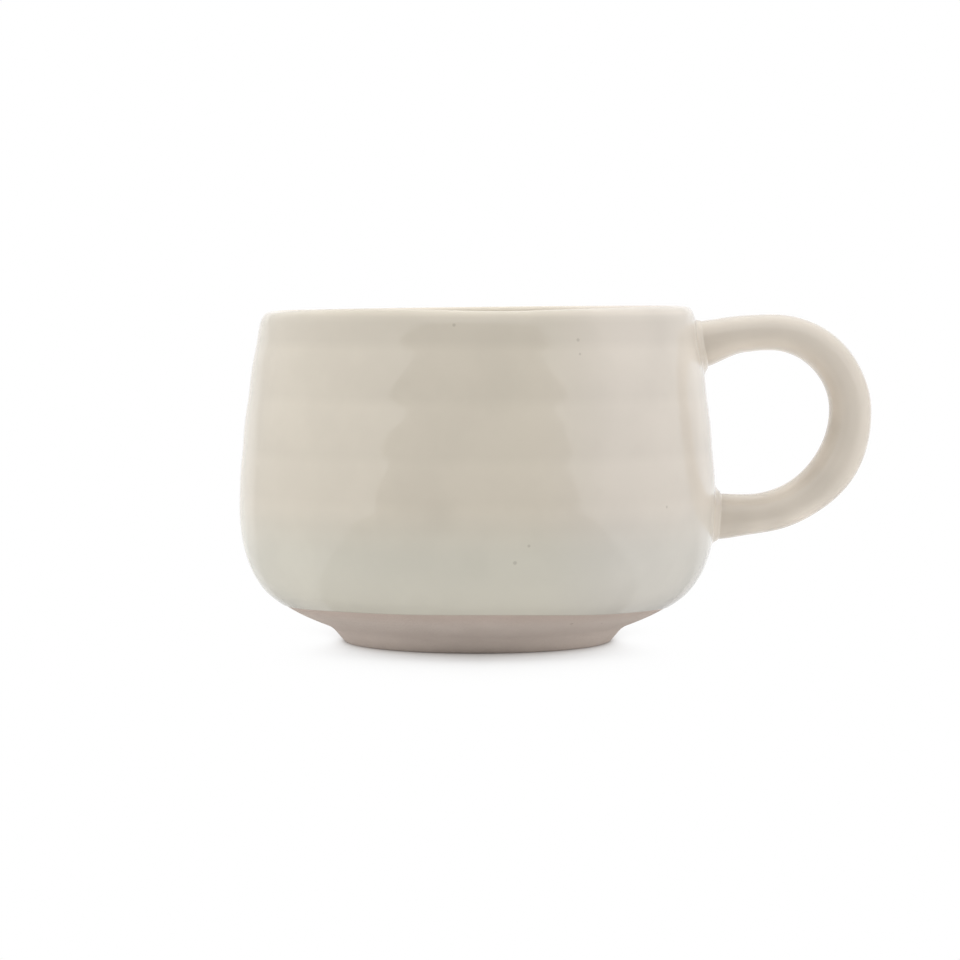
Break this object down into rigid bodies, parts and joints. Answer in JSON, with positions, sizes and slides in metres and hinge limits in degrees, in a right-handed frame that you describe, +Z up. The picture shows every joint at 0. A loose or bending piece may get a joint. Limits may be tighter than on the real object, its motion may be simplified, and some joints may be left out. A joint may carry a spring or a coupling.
{
  "type": "cappuccino cup",
  "caption": "Rounded stoneware cappuccino cup with a full belly, an inward-leaning wall, a round lip, a side loop handle, cream glaze and a bare turned foot.",
  "frame": {"origin": "middle of the foot ring, on the surface the cup stands on", "axes": "+Z up along the axis of the bowl, +X out through the handle"},
  "size_m": [0.1197, 0.0906, 0.0633],
  "materials": {
    "stoneware_clay": "bare fired stoneware, matt, fine grog",
    "joint_slip": "fired slip, under the glaze",
    "cream_glaze": "glossy cream glaze with a few iron specks",
    "liner_glaze": "glossy cream liner glaze"
  },
  "bodies": {
    "root": {"bowl": "stoneware_clay", "foot_ring": "stoneware_clay", "handle": "stoneware_clay", "upper_handle_joint": "joint_slip", "lower_handle_joint": "joint_slip", "outer_glaze": "cream_glaze", "inner_glaze": "liner_glaze", "handle_glaze": "cream_glaze"}
  },
  "joints": []
}
